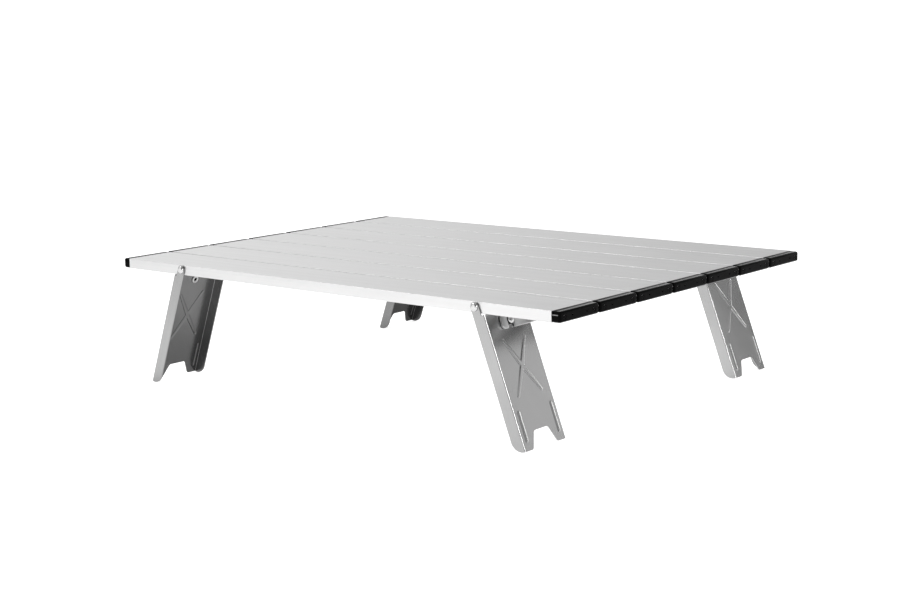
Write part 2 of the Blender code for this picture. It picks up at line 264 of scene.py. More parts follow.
def nodes_for(name):
    """A new material, its node tree, its shader and its object coordinates."""
    mat = bpy.data.materials.new(name)
    mat.use_nodes = True
    tree = mat.node_tree
    shader = tree.nodes["Principled BSDF"]
    coords = tree.nodes.new("ShaderNodeTexCoord")
    return mat, tree, shader, coords.outputs["Object"]


def noise(tree, coords, stretch, detail=3.0, roughness=0.55):
    """Noise with so many grains to the metre along X, Y and Z."""
    mapping = tree.nodes.new("ShaderNodeMapping")
    mapping.inputs["Scale"].default_value = stretch
    tree.links.new(coords, mapping.inputs["Vector"])
    tex = tree.nodes.new("ShaderNodeTexNoise")
    tex.inputs["Scale"].default_value = 1.0
    tex.inputs["Detail"].default_value = detail
    tex.inputs["Roughness"].default_value = roughness
    tree.links.new(mapping.outputs["Vector"], tex.inputs["Vector"])
    return tex.outputs["Fac"]


def spread(tree, value, low, high, start=0.25, stop=0.75, how="LINEAR"):
    """A value that goes from low to high while the one given goes from start to stop."""
    node = tree.nodes.new("ShaderNodeMapRange")
    node.interpolation_type = how
    for socket, number in (("From Min", start), ("From Max", stop),
                           ("To Min", low), ("To Max", high)):
        node.inputs[socket].default_value = number
    tree.links.new(value, node.inputs["Value"])
    return node.outputs["Result"]


def slope(tree, value, start, stop, low, high):
    """The same with an easy start and end."""
    return spread(tree, value, low, high, start, stop, "SMOOTHSTEP")


def grey(level):
    """A grey as a colour."""
    return (level, level, level)


def mixed(tree, value, dark, light):
    """A colour between two, by value."""
    node = tree.nodes.new("ShaderNodeMix")
    node.data_type = "RGBA"
    node.inputs["A"].default_value = (*dark, 1)
    node.inputs["B"].default_value = (*light, 1)
    tree.links.new(value, node.inputs["Factor"])
    return node.outputs["Result"]


def combine(tree, a, b, how="MULTIPLY"):
    """Two values or numbers combined."""
    node = tree.nodes.new("ShaderNodeMath")
    node.operation = how
    for i, value in enumerate((a, b)):
        if isinstance(value, (int, float)):
            node.inputs[i].default_value = value
        else:
            tree.links.new(value, node.inputs[i])
    return node.outputs["Value"]


def bump(tree, shader, height, distance, strength, after=None):
    """Bump from a height, on top of another bump if there is one."""
    node = tree.nodes.new("ShaderNodeBump")
    node.inputs["Distance"].default_value = distance
    node.inputs["Strength"].default_value = strength
    tree.links.new(height, node.inputs["Height"])
    if after is not None:
        tree.links.new(after, node.inputs["Normal"])
    tree.links.new(node.outputs["Normal"], shader.inputs["Normal"])
    return node.outputs["Normal"]


def anodised():
    """Satin anodised extrusion: fine draw lines along X, faint clouding, a few rubbed marks."""
    mat, tree, shader, coords = nodes_for("anodised_aluminium")
    shader.inputs["Metallic"].default_value = 1.0
    lines = noise(tree, coords, (9, 2600, 2600), 4.0, 0.65)
    broad = noise(tree, coords, (2, 160, 160), 2.0)
    cloud = noise(tree, coords, (14, 26, 26))
    rubbed = noise(tree, coords, (60, 900, 900), 2.0, 0.7)
    tone = combine(tree, combine(tree, lines, broad, "ADD"), cloud, "ADD")
    colour = mixed(tree, spread(tree, tone, 0, 1, 1.15, 1.85), grey(0.70), grey(0.76))
    tree.links.new(colour, shader.inputs["Base Color"])
    satin, marks = spread(tree, cloud, 0.33, 0.40), spread(tree, rubbed, 0.0, 0.05, 0.5, 0.8)
    tree.links.new(combine(tree, satin, marks, "ADD"), shader.inputs["Roughness"])
    first = bump(tree, shader, lines, 0.000012, 0.6)
    bump(tree, shader, broad, 0.00002, 0.35, first)
    return mat


def pressed_zinc(name, dark, light, rough):
    """Pressed steel with a satin zinc finish: rolled grain, faint clouding, handling marks."""
    mat, tree, shader, coords = nodes_for(name)
    shader.inputs["Metallic"].default_value = 1.0
    grain = noise(tree, coords, (1500, 1500, 90), roughness=0.6)
    mottle = noise(tree, coords, (45, 45, 30))
    fine = noise(tree, coords, (2400, 2400, 2400), 2.0)
    colour = mixed(tree, spread(tree, mottle, 0, 1), grey(dark), grey(light))
    tree.links.new(colour, shader.inputs["Base Color"])
    satin, marks = spread(tree, mottle, rough, rough + 0.03), spread(tree, grain, -0.02, 0.02)
    tree.links.new(combine(tree, satin, marks, "ADD"), shader.inputs["Roughness"])
    first = bump(tree, shader, grain, 0.000001, 0.4)
    bump(tree, shader, fine, 0.000001, 0.4, first)
    return mat


def nickel(name, dark, light, rough):
    """Plated rivet with faint tool marks."""
    mat, tree, shader, coords = nodes_for(name)
    shader.inputs["Metallic"].default_value = 1.0
    marks = noise(tree, coords, (700, 700, 1500))
    spots = noise(tree, coords, (260, 260, 260), 2.0)
    colour = mixed(tree, spread(tree, spots, 0, 1), grey(dark), grey(light))
    tree.links.new(colour, shader.inputs["Base Color"])
    tree.links.new(spread(tree, marks, rough, rough + 0.08), shader.inputs["Roughness"])
    bump(tree, shader, marks, 0.00002, 0.35)
    return mat


def moulded(name, dark, light, rough, shine, grain):
    """Black moulded plastic with a fine spark-eroded texture and scuffed patches."""
    mat, tree, shader, coords = nodes_for(name)
    shader.inputs["Specular IOR Level"].default_value = shine
    texture = noise(tree, coords, (2200, 2200, 2200), 2.0, 0.6)
    scuff = noise(tree, coords, (90, 160, 160), 4.0, 0.65)
    colour = mixed(tree, spread(tree, scuff, 0, 1, 0.4, 0.75), grey(dark), grey(light))
    tree.links.new(colour, shader.inputs["Base Color"])
    tree.links.new(spread(tree, scuff, rough, rough + 0.12), shader.inputs["Roughness"])
    bump(tree, shader, texture, grain, 0.35)
    return mat


def braided():
    """Black braided elastic: crossing strands along the cord."""
    mat, tree, shader, coords = nodes_for("braided_elastic")
    shader.inputs["Roughness"].default_value = 0.85
    shader.inputs["Sheen Weight"].default_value = 0.3
    waves = []
    for slant in (0.7, -0.7):
        wave = tree.nodes.new("ShaderNodeTexWave")
        mapping = tree.nodes.new("ShaderNodeMapping")
        mapping.inputs["Rotation"].default_value = (0, 0, slant)
        tree.links.new(coords, mapping.inputs["Vector"])
        tree.links.new(mapping.outputs["Vector"], wave.inputs["Vector"])
        wave.inputs["Scale"].default_value = 900
        waves.append(wave.outputs["Fac"])
    weave = combine(tree, waves[0], waves[1], "MAXIMUM")
    colour = mixed(tree, weave, (0.008, 0.008, 0.009), (0.03, 0.03, 0.032))
    tree.links.new(colour, shader.inputs["Base Color"])
    bump(tree, shader, weave, 0.0001, 0.6)
    return mat


# darkest and lightest tone and roughness; the plastics' gloss and height of grain (m) as well
ALU = anodised()
ZINC = pressed_zinc("zinc_outside", 0.39, 0.42, 0.23)
# darker copies of the same zinc for the inside of the web and of the flanges: painted shade
ZINC_IN_PAINTED_SHADE = pressed_zinc("zinc_inside_painted_shade", 0.17, 0.185, 0.22)
ZINC_SIDE_PAINTED_SHADE = pressed_zinc("zinc_inner_side_painted_shade", 0.26, 0.28, 0.22)
PLATE = pressed_zinc("bar_steel", 0.68, 0.74, 0.33)
NICKEL = nickel("nickel_rivet", 0.60, 0.70, 0.22)
# darker copy of the nickel for the rolled ends inside the web: painted shade; its higher roughness
# is real
ROLLED_PAINTED_SHADE = nickel("rolled_end_painted_shade", 0.52, 0.62, 0.28)
NYLON = moulded("black_nylon", 0.002, 0.004, 0.26, 0.02, 0.00001)
# lighter, glossier nylon on the upward faces of the caps' top edge: a painted highlight
TOP_EDGE_HIGHLIGHT = moulded("top_edge_painted_highlight", 0.02, 0.05, 0.20, 1.0, 0.000004)
# still lighter nylon on the upward faces of the side ledges: a painted highlight
LEDGE_HIGHLIGHT = moulded("ledge_painted_highlight", 0.14, 0.26, 0.3, 1.0, 0.000004)
# lighter, glossier nylon on the plug and the caps' downward faces: painted light for the legs to
# mirror
PLUG_PAINTED_LIGHT = moulded("plug_and_underside_painted_light", 0.02, 0.03, 0.25, 0.5, 0.00001)
BUSH = moulded("black_bush", 0.010, 0.016, 0.45, 0.2, 0.00002)
# black for the tubular rivets' bores: painted shade in the hole
BORE_PAINTED_SHADE = moulded("rivet_bore_painted_shade", 0.02, 0.05, 0.5, 0.2, 0.00001)
CORD = braided()


def add(name, mesh, finishes, body, replaced, place=None, bevel=None, weighted=False):
    """A finished piece on its body, standing for a CAD node; bevel in millimetres."""
    mesh.name = name
    for finish in finishes:
        mesh.materials.append(finish)
    ob = new_object(name, mesh)
    if place is not None:
        ob.matrix_world = place
    if bevel:
        mod = ob.modifiers.new("edge", "BEVEL")
        mod.width = bevel * MM
        mod.segments = 2
        mod.limit_method = "ANGLE"
        mod.angle_limit = math.radians(40)
    if weighted:
        mod = ob.modifiers.new("normals", "WEIGHTED_NORMAL")
        mod.keep_sharp = True
    bpy.context.view_layer.update()
    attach(ob, body)
    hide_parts(replaced)


ENDS = (("r", 1), ("l", -1))         # the table's ends: tag, and sign of X


def slat_middles():
    """Each slat's number and the Y of its middle."""
    return [(i + 1, i * PITCH - Y_OUTER) for i in range(SLATS)]


# --- slats --------------------------------------------------------------------------------


def slat_outline():
    """Section of a slat (y, z from its underside): open channel with lips, softened corners."""
    w, h = SLAT_W / 2, SLAT_H
    outside = [(w - LIP, 0, 0.25), (w, 0, 0.5), (w, h, 0.35)]
    within = [(w - WALL, h - TOP, 0.6), (w - WALL, WALL, 0.4), (w - LIP, WALL, 0.25)]
    mirrored = [(-y, z, radius) for y, z, radius in reversed(within + outside)]
    return rounded(outside + mirrored + within, 4)


def slat_mesh(y, hinged):
    """One slat in its place, with its hinge rivet holes."""
    mesh = run([(p[0] + y, p[1] + UNDER) for p in slat_outline()], -SLAT_END, SLAT_END)
    if hinged:
        hub = HINGES["leg_fr"]
        spots = [(side * hub.x, y + edge * SLAT_W / 2, hub.z)
                 for side in (-1, 1) for edge in (-1, 1)]
        cutters = [rod(spot, (0, 1, 0), RIVET_R + 0.05, 6) for spot in spots]
        mesh = cut(mesh, "DIFFERENCE", *cutters)
    shade(mesh, 30)
    return mesh


for number, y in slat_middles():
    add("top_slat_%d" % number, slat_mesh(y, number in (1, SLATS)), (ALU,), "top",
        "slat_%d" % number, weighted=True)


# --- end caps: X out from the slat's end, Z up from its underside --------------------------

HEAD_LOW = (0.12, -CAP_HALF, 0.1)    # the head, past the slat's end
HEAD_HIGH = (CAP_OUT, CAP_HALF, SLAT_H - 0.05)
HEAD_ROUND = 1.9                     # rounding of its outer edges
STEP_LOW, STEP_HIGH = 6.3, 7.0       # its sides step in between these heights
STEP_IN, STEP_OUT = 0.7, 6.6         # by so much, and up to so far from the slat's end
PLAY = 0.3                           # between the plug and the slat's walls
PLUG_IN = 0.6                        # how far the plug runs into the head
PLUG_WALLS = (1.8, 2.0, 1.6, 1.6)    # its walls at the tip, the sides, the top and the head
RIBS_Y, RIBS_X = (-14, 0, 14), (2.5, 1.4)       # its ribs, from tip and head inwards
RIB_HALF, RIB_LOW_GAP, RIB_TOP_GAP = 0.6, 0.4, 1.2
BOSS_R, BOSS_OUT = 3.0, 0.95         # tube round the cord, and how far it stands out sideways
BOSS_SHORT = 4.0                     # an outer cap's tube ends so far inside its outer side
HOLE_R, HOLE_END = 1.7, 31.0         # hole for the cord, cut from past the head's sides
STOP_X, STOP_Y, STOP_Z = (1.4, 7.6), (17.6, 25.2), (-1.0, 7.9)    # pocket of the cord's stop
STOP_HOLE = 18.0                     # where an outer cap's hole for the cord ends
GROOVE_Y, GROOVE_R, GROOVE_DEEP = 21.2, (1.6, 2.25), 0.4          # ring pressed in the end
PIN_Y, PIN_UP, PIN_R, PIN_DEEP = 10.4, 0.2, 0.95, 1.3             # round marks beside it
TOP_EDGE_HIGHLIGHT_X, TOP_EDGE_HIGHLIGHT_Z = 4.4, 9.8        # the top's edge gets a painted highlight beyond these
LEDGE_Z = (5.0, 8.0)                 # heights between which the steps' ledges lie and get a painted highlight
FACING = 0.4                         # slope that counts as facing up or down


def cap_block():
    """The part of a cap that stands past its slat, rounded on its outer edges."""
    bm = box_bm(HEAD_LOW, HEAD_HIGH)
    outer = [e for e in bm.edges if max(v.co.x for v in e.verts) > CAP_OUT - 0.1]
    bmesh.ops.bevel(bm, geom=outer, offset=HEAD_ROUND, segments=6, profile=0.5, affect="EDGES",
                    clamp_overlap=True)
    return mesh_from("cap", bm)


def plugged(mesh):
    """A cap's head with its ribbed hollow plug."""
    wide = SLAT_W / 2 - WALL - PLAY
    low, high = WALL + PLAY, SLAT_H - TOP - PLAY
    tip, side, top, root = PLUG_WALLS
    mesh = cut(mesh, "UNION", box_mesh((-CAP_PLUG, -wide, low), (PLUG_IN, wide, high)))
    mesh = cut(mesh, "DIFFERENCE", box_mesh((tip - CAP_PLUG, side - wide, low - 1),
                                            (-root, wide - side, high - top)))
    ribs = [box_mesh((RIBS_X[0] - CAP_PLUG, y - RIB_HALF, low + RIB_LOW_GAP),
                     (-RIBS_X[1], y + RIB_HALF, high - RIB_TOP_GAP)) for y in RIBS_Y]
    return cut(mesh, "UNION", *ribs)


def cap_mesh(outer_side):
    """End cap for the +X end; outer_side is -1 or 1 for the front or back one, else 0."""
    mid = CORD_Z - UNDER
    cord_x = CORD_X - SLAT_END
    mesh = plugged(cap_block())
    steps = []
    for s in (-1, 1):
        past, top = CAP_HALF + 1, SLAT_H + 2
        wedge = [(past, STEP_LOW), (CAP_HALF + 0.02, STEP_LOW), (CAP_HALF - STEP_IN, STEP_HIGH),
                 (CAP_HALF - STEP_IN, top), (past, top)]
        steps.append(run([(s * y, z) for y, z in wedge], -0.2, STEP_OUT))
    mesh = cut(mesh, "DIFFERENCE", *steps)
    ends = [-(CAP_HALF + BOSS_OUT), CAP_HALF + BOSS_OUT]
    if outer_side:
        ends[0 if outer_side < 0 else 1] = outer_side * (CAP_HALF - BOSS_SHORT)
    boss = rod((cord_x, sum(ends) / 2, mid), (0, 1, 0), BOSS_R, ends[1] - ends[0])
    mesh = cut(mesh, "UNION", boss)
    reach = [-HOLE_END, HOLE_END]
    if outer_side:
        reach = sorted((outer_side * STOP_HOLE, -outer_side * HOLE_END))
        pocket = sorted(outer_side * y for y in STOP_Y)
        mesh = cut(mesh, "DIFFERENCE", box_mesh((STOP_X[0], pocket[0], STOP_Z[0]),
                                                (STOP_X[1], pocket[1], STOP_Z[1])))
    holes = [rod((cord_x, sum(reach) / 2, mid), (0, 1, 0), HOLE_R, reach[1] - reach[0], 24)]
    small, large = GROOVE_R
    for s in (-1, 1):
        ring = lathe([(large, -GROOVE_DEEP), (large, GROOVE_DEEP), (small, GROOVE_DEEP),
                      (small, -GROOVE_DEEP), (large, -GROOVE_DEEP)], 28)
        ring.transform(moved((CAP_OUT, s * GROOVE_Y, mid)) @ LIE)
        holes.append(ring)
        pin = (CAP_OUT, s * PIN_Y, mid + PIN_UP)
        holes.append(rod(pin, (1, 0, 0), PIN_R, 2 * PIN_DEEP, 16))
    mesh = cut(mesh, "DIFFERENCE", *holes)
    shade(mesh, 30)
    return mesh


def mark_painted_light(mesh):
    """Finishes of a cap: 0 plain, 1 painted highlight on the top edge, 2 plug and underside
    lightened as painted light, 3 painted highlight on the ledges.
    """
    bm = bmesh.new()
    bm.from_mesh(mesh)
    bmesh.ops.bisect_plane(bm, geom=bm.verts[:] + bm.edges[:] + bm.faces[:], dist=1e-7,
                           plane_co=(TOP_EDGE_HIGHLIGHT_X * MM, 0, 0), plane_no=(1, 0, 0))
    bm.to_mesh(mesh)
    bm.free()
    for poly in mesh.polygons:
        x, z = poly.center.x / MM, poly.center.z / MM
        # upward faces near the top edge and on the ledges get painted highlights; the plug and
        # downward faces get painted light
        upwards = poly.normal.z > FACING
        if upwards and TOP_EDGE_HIGHLIGHT_X < x and TOP_EDGE_HIGHLIGHT_Z < z:
            poly.material_index = 1
        elif upwards and 0 < x and LEDGE_Z[0] < z < LEDGE_Z[1]:
            poly.material_index = 3
        elif x < 0 or poly.normal.z < -FACING:
            poly.material_index = 2


cap_meshes = {side: cap_mesh(side) for side in (-1, 0, 1)}
for mesh in cap_meshes.values():
    mark_painted_light(mesh)
for number, y in slat_middles():
    outer_side = -1 if number == 1 else 1 if number == SLATS else 0
    for tag, sign in ENDS:
        # only the caps at the +X end get the painted highlights; those at the -X end keep plain
        # black there
        finishes = (NYLON, TOP_EDGE_HIGHLIGHT, PLUG_PAINTED_LIGHT, LEDGE_HIGHLIGHT) if sign > 0 else (NYLON, NYLON, PLUG_PAINTED_LIGHT, NYLON)
        add("end_cap_%s%d" % (tag, number), cap_meshes[sign * outer_side].copy(), finishes,
            "top", "cap_%s_%d" % (tag, number),
            moved((sign * SLAT_END, y, UNDER), 0 if sign > 0 else math.pi))


# --- cords and their stops ----------------------------------------------------------------


# section of a crimped sleeve from its bore outwards, its upper half
SLEEVE = [(1.56, 2.0), (2.2, 2.0), (2.45, 1.85), (2.6, 1.5), (2.6, 0.5), (2.35, 0.2)]


def tube(half_length, radius, rings=60):
    """A straight round cord along Y with softly rounded ends."""
    end = [(0, half_length), (radius * 0.7, half_length), (radius, half_length - 0.3)]
    middle = [(radius, half_length * (1 - 2 * i / rings)) for i in range(1, rings)]
    mesh = lathe(end + middle + [(r, -z) for r, z in reversed(end)], 20)
    mesh.transform(Euler((math.pi / 2, 0, 0)).to_matrix().to_4x4())
    return mesh


for tag, _ in ENDS:
    low, high = node_box("cord_" + tag)
    add("elastic_" + tag, tube((high.y - low.y) / 2, CORD_R), (CORD,), "top",
        "cord_" + tag, moved((low + high) / 2))
    for name in ("f", "b"):
        node = "cord_stop_%s%s" % (name, tag)
        low, high = node_box(node)
        sleeve = lathe(SLEEVE + [(r, -z) for r, z in reversed(SLEEVE)] + SLEEVE[:1], 32)
        add("sleeve_%s%s" % (name, tag), sleeve, (NICKEL,), "top", node,
            moved((low + high) / 2, math.pi / 2, "X"))


# --- legs: hinge axis along Y at the origin, web at +X, foot down --------------------------

FLAT = HALF - BEND                   # half width of the web's flat part
TURN = BEND * math.pi / 2            # length of a fold over its outer face
CROSS = Vector((0.0, -59.4))         # middle of the pressed cross, and the ends of its arms
ARM_TIPS = ((-14.6, -34.9), (14.6, -34.9), (-16.4, -83.9), (16.4, -83.9))
RIB_Y, RIB_TOP, RIB_LOW = 23.0, -98.1, -122.6   # the straight ribs above the foot
# pressed beads: start, end, half width at either, width of the slopes
BEADS = [(CROSS, Vector(tip), 2.2, 1.2, 0.8) for tip in ARM_TIPS]
BEADS += [(Vector((s * RIB_Y, RIB_TOP)), Vector((s * RIB_Y, RIB_LOW)), 1.35, 1.35, 1.0)
          for s in (-1, 1)]
BEAD_H = 0.6
LEVELS = (-1.0, -0.55, 0.0, 0.55, 1.0)          # lines along the slopes, from crest to foot
NOTCH_Z, NOTCH_TOP, NOTCH_LOW = -116.0, 10.2, 17.6    # notch in the foot: top, half widths
FOLD_LINES, FOLD_ROWS = 7, 14        # mesh lines over a fold, and pieces in each line


def lift(p):
    """How far the pressed beads raise the web at (y, z)."""
    best = 0.0
    for a, b, wide, narrow, ramp in BEADS:
        along = b - a
        t = max(0.0, min(1.0, (p - a).dot(along) / along.length_squared))
        off = (p - (a + along * t)).length - (wide + (narrow - wide) * t)
        off = max(-1.0, min(1.0, off / ramp))
        best = max(best, BEAD_H * 0.5 * (1 - math.sin(off * math.pi / 2)))
    return best


def fold(w, z, inward):
    """The point w across the unfolded sheet and z up it, on the outer face or inward of it."""
    side, v = (1 if w >= 0 else -1), abs(w)
    if v <= FLAT:
        x, y, nx, ny = WEB, v, 1.0, 0.0
    elif v <= FLAT + TURN:
        t = (v - FLAT) / BEND
        x, y = WEB - BEND + BEND * math.cos(t), FLAT + BEND * math.sin(t)
        nx, ny = math.cos(t), math.sin(t)
    else:
        x, y, nx, ny = WEB - BEND - (v - FLAT - TURN), HALF, 0.0, 1.0
    shift = (lift(Vector((w, z))) if v < FLAT else 0.0) - inward
    return Vector((x + nx * shift, side * (y + ny * shift), z))


def over(x):
    """Distance over the outer face from the web's middle to depth x."""
    if x > WEB - BEND:
        return FLAT + BEND * (math.pi / 2 - math.asin(min(1.0, (x - WEB + BEND) / BEND)))
    return FLAT + TURN + WEB - BEND - x


def half_outline():
    """Right half of the unfolded leg's outline, from the web's top edge to the foot notch."""
    shoulder = fillet((WEB + 1, WEB_TOP), (TAB, WEB_TOP), (TAB, 0), 0.8, 4)
    edge = shoulder + arc(0, 0, TAB, 0, 180, 20)
    edge += arc(FOOT_R - TAB, FOOT + FOOT_R, FOOT_R, 180, 270, 16)
    points = [Vector((over(p[0]), p[1])) for p in edge]
    notch = rounded([(FLAT, FOOT, 0), (NOTCH_LOW, FOOT, 3), (NOTCH_TOP, NOTCH_Z, 3.5),
                     (0, NOTCH_Z, 0)], 6)
    return points + notch[1:-1]


def inside(p, loop):
    """True if a point is inside a closed loop."""
    found = False
    for a, b in zip(loop, loop[1:] + loop[:1]):
        crosses = (a[1] > p[1]) != (b[1] > p[1])
        if crosses and p[0] < (b[0] - a[0]) * (p[1] - a[1]) / (b[1] - a[1]) + a[0]:
            found = not found
    return found


def contour(bead, level):
    """Closed line round a bead where its side has one height."""
    a, b, wide, narrow, ramp = bead
    angle = math.degrees(math.atan2((b - a).y, (b - a).x))
    grow = level * ramp
    line = arc(b.x, b.y, narrow + grow, angle - 90, angle + 90, 8)
    return line + arc(a.x, a.y, wide + grow, angle + 90, angle + 270, 8)


def flat_pattern(outline, holes):
    """Corners and faces of the unfolded sheet, with lines round the beads and over the folds."""
    loops = [outline] + holes + [contour(bead, level) for bead in BEADS for level in LEVELS]
    points, edges = [], []
    for loop in loops:
        start = len(points)
        points += loop
        edges += [(start + i, start + (i + 1) % len(loop)) for i in range(len(loop))]
    for s in (-1, 1):
        for i in range(FOLD_LINES):
            w = s * (FLAT + TURN * i / (FOLD_LINES - 1))
            start = len(points)
            points += [Vector((w, WEB_TOP + 2 + (FOOT - 4 - WEB_TOP) * k / FOLD_ROWS))
                       for k in range(FOLD_ROWS + 1)]
            edges += [(start + k, start + k + 1) for k in range(FOLD_ROWS)]
    flat, _, faces, _, _, _ = delaunay_2d_cdt(points, edges, [], 0, 1e-4)
    return flat, faces


def leg_mesh():
    """The folded leg; finishes are 0 outside and folds, 1 inside the web, 2 inside the flanges (1,
    2: painted shade).
    """
    right = half_outline()
    outline = right + [Vector((-p[0], p[1])) for p in reversed(right)]
    hub = over(0)
    holes = [arc(s * hub, 0, RIVET_R + 0.06, 0, 360, 24)[:-1] for s in (-1, 1)]
    holes.append(arc(0, STUD_Z, STUD_R + 0.08, 0, 360, 24)[:-1])
    flat, faces = flat_pattern(outline, holes)
    bm = bmesh.new()
    outer = [bm.verts.new(fold(p[0], p[1], 0.0)) for p in flat]
    inner = [bm.verts.new(fold(p[0], p[1], SHEET)) for p in flat]
    for face in faces:
        middle = sum((flat[i] for i in face), Vector((0, 0))) / len(face)
        if inside(middle, outline) and not any(inside(middle, hole) for hole in holes):
            bm.faces.new([outer[i] for i in face])
            # the inside of the web and of the flanges get the darker finishes, which paint shade
            across = abs(middle[0])
            finish = 1 if across < FLAT else 0 if across < FLAT + TURN else 2
            bm.faces.new([inner[i] for i in reversed(face)]).material_index = finish
    partner = dict(zip(outer, inner))
    rim = [e.verts for e in bm.edges if e.is_boundary and all(v in partner for v in e.verts)]
    for a, b in rim:
        bm.faces.new((a, b, partner[b], partner[a]))
    loose = [v for v in bm.verts if not v.link_faces]
    bmesh.ops.delete(bm, geom=loose, context="VERTS")
    mesh = mesh_from("leg", bm)
    shade(mesh, 40)
    return mesh


# --- bars, rivets, studs ------------------------------------------------------------------


def plate(loops, low, high, edge):
    """A flat plate with rounded edges; outlines are (y, z), thickness runs along X."""
    curve = bpy.data.curves.new("plate", "CURVE")
    curve.dimensions = "2D"
    curve.fill_mode = "BOTH"
    curve.extrude = ((high - low) / 2 - edge) * MM
    curve.bevel_depth = edge * MM
    curve.bevel_resolution = 2
    curve.offset = -edge * MM
    for loop in loops:
        spline = curve.splines.new("POLY")
        spline.points.add(len(loop) - 1)
        for point, xy in zip(spline.points, loop):
            point.co = (xy[0] * MM, xy[1] * MM, 0, 1)
        spline.use_cyclic_u = True
    ob = new_object("plate", curve)
    bpy.context.view_layer.update()
    mesh = bake(ob)
    bm = bmesh.new()
    bm.from_mesh(mesh)
    bmesh.ops.remove_doubles(bm, verts=bm.verts, dist=1e-6)
    bmesh.ops.recalc_face_normals(bm, faces=bm.faces)
    bm.to_mesh(mesh)
    bm.free()
    mesh.transform(Matrix.Translation((0, 0, (high + low) / 2 * MM)))
    mesh.transform(Euler((math.pi / 2, 0, math.pi / 2)).to_matrix().to_4x4())
    shade(mesh, 50)
    return mesh


def bar_mesh():
    """Tie bar with its pivot at the origin and its open fork at the far end."""
    fork = -2 * Y_OUTER
    tip, mouth = fork - FORK_R - TONGUE, fork + FORK_R
    lip = tip + TONGUE
    up, down = BAR_UP, -BAR_DOWN
    outline = arc(0, (up + down) / 2, (up - down) / 2, -90, 90, 24)
    for before, corner, after, radius, steps in (
            ((0, up), (tip, up), (tip, down), 5.0, 10),
            ((tip, up), (tip, down), (lip, down), 3.6, 10),
            ((tip, down), (lip, down), (lip, 0), 1.8, 6)):
        outline += fillet(before, corner, after, radius, steps)
    outline += arc(fork, 0, FORK_R, 180, 0, 20)
    outline += fillet((mouth, 0), (mouth, down), (0, down), 1.2, 5)
    hole = arc(0, 0, STUD_R + 0.08, 0, 360, 28)[:-1]
    return plate([outline, hole], WEB + BAR_IN, WEB + BAR_IN + BAR_T, 0.25)


def dome(radius, low, height, steps=10):
    """Profile of a domed head from its crown to its rim."""
    rim, soft = 0.3, 0.12
    spots = [(0.0, low + height)]
    for i in range(1, steps + 1):
        a = math.radians(90 * (1 - i / steps))
        spots.append((radius * math.cos(a), low + rim + (height - rim) * math.sin(a)))
    return spots + [(radius, low + soft), (radius - soft, low)]


def hinge_rivet(domed):
    """Leg hinge rivet, +Z away from the slat's side."""
    seat = SIDE_GAP + SHEET
    if domed:
        top = dome(3.9, seat + 0.1, 2.2)
        tail = [(3.0, -0.1), (3.1, -0.3), (3.0, -0.6), (2.4, -0.9), (1.7, -1.0), (1.25, -0.8),
                (1.0, 0.2), (0, 0.4)]
    else:
        top = [(r, seat + z) for r, z in ((0, 0.45), (2.8, 0.45), (3.05, 0.42), (3.2, 0.3),
                                          (3.2, 0.1))]
        tail = [(2.9, -0.1), (3.0, -0.2), (3.0, -0.6), (2.7, -1.1), (2.1, -1.4), (1.2, -1.55),
                (0, -1.6)]
    shank = [(RIVET_R, top[-1][1]), (RIVET_R, -WALL - 0.1)]
    return lathe(top + shank + [(r, z - WALL) for r, z in tail])


def stud_mesh(seat):
    """Tubular rivet along +Z: 0 domed head outside, 1 bore, black as painted shade, 2 rolled end
    inside the web, darker as painted shade.
    """
    face = WEB - SHEET
    top = dome(3.7, seat, 1.9)
    shank = [(STUD_R, seat), (STUD_R, face - 0.1)]
    roll = [(3.7, -0.1), (4.0, -0.25), (4.1, -0.5), (4.0, -0.8), (3.6, -1.1), (3.1, -1.25),
            (2.6, -1.25), (2.15, -1.05), (1.85, -0.75), (BORE_R, -0.3)]
    bore = [(BORE_R, 1.5), (1.4, 1.8), (0, 1.9)]
    mesh = lathe(top + shank + [(r, face + z) for r, z in roll + bore])
    # the bore is painted black and the rolled end darker: painted shade
    for poly in mesh.polygons:
        x, y, z = poly.center / MM
        if z < WEB + 2 and math.hypot(x, y) < BORE_R + 0.02:
            poly.material_index = 1
        elif z < face:
            poly.material_index = 2
    return mesh


def ring_mesh(radius, bore, low, high):
    """A ring about Z with softened rims."""
    b = min(0.12, (high - low) / 4)
    return lathe([(bore, high - b), (bore + b, high), (radius - b, high), (radius, high - b),
                  (radius, low + b), (radius - b, low), (bore + b, low), (bore, low + b),
                  (bore, high - b)])


leg, bar = leg_mesh(), bar_mesh()
out_rivet, in_rivet = hinge_rivet(True), hinge_rivet(False)
bar_out = WEB + BAR_IN + BAR_T
fork_stud, pivot = stud_mesh(bar_out + 0.2), stud_mesh(bar_out + 0.1)
bush = ring_mesh(FORK_R - 0.15, STUD_R + 0.05, WEB + 0.08, bar_out + 0.12)
washer = ring_mesh(5.0, STUD_R + 0.05, WEB + 0.1, WEB + BAR_IN - 0.1)

